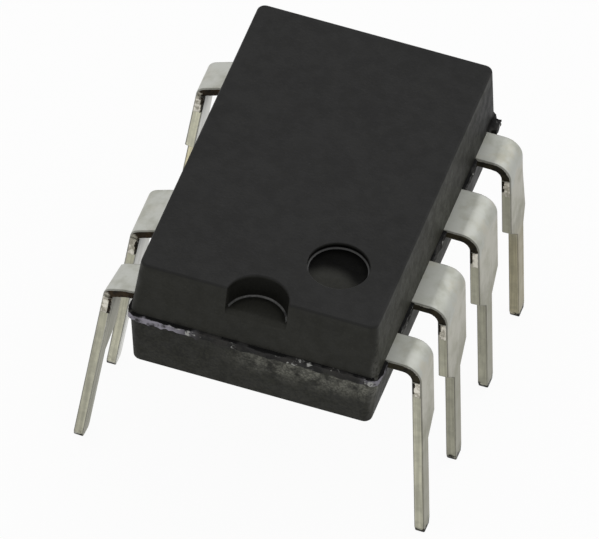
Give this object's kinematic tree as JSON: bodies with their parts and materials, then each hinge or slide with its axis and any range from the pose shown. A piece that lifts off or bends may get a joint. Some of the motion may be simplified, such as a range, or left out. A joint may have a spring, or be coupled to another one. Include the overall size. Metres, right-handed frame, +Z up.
{
  "type": "dip integrated circuit chip",
  "caption": "Dual in-line plastic chip package: drafted moulded body with end notch and corner dimple, flat tinned leads bent down along its long sides, and a gap at a missing lead.",
  "frame": {"origin": "the middle of the part's footprint, in the plane of the lead tips", "axes": "+Z up from the lead tips to the top face; +Y along the body, away from the notched end; pins 1 to 4 are on the +X side and pins 5 to 8 on the -X side"},
  "size_m": [0.0088, 0.0096, 0.0072],
  "materials": {
    "moulding": "matte, finely grained",
    "tinned_lead": "satin tin plating on copper alloy",
    "bond_layer": "silver-filled adhesive",
    "silicon": "polished",
    "bond_wire": "bright gold"
  },
  "bodies": {
    "root": {"body": "moulding", "lead_frame": "tinned_lead", "lead_1": "tinned_lead", "lead_4": "tinned_lead", "lead_5": "tinned_lead", "die_bond": "bond_layer", "die": "silicon", "wire_1": "bond_wire", "wire_4": "bond_wire", "wire_5": "bond_wire", "wire_ground": "bond_wire"}
  },
  "joints": []
}
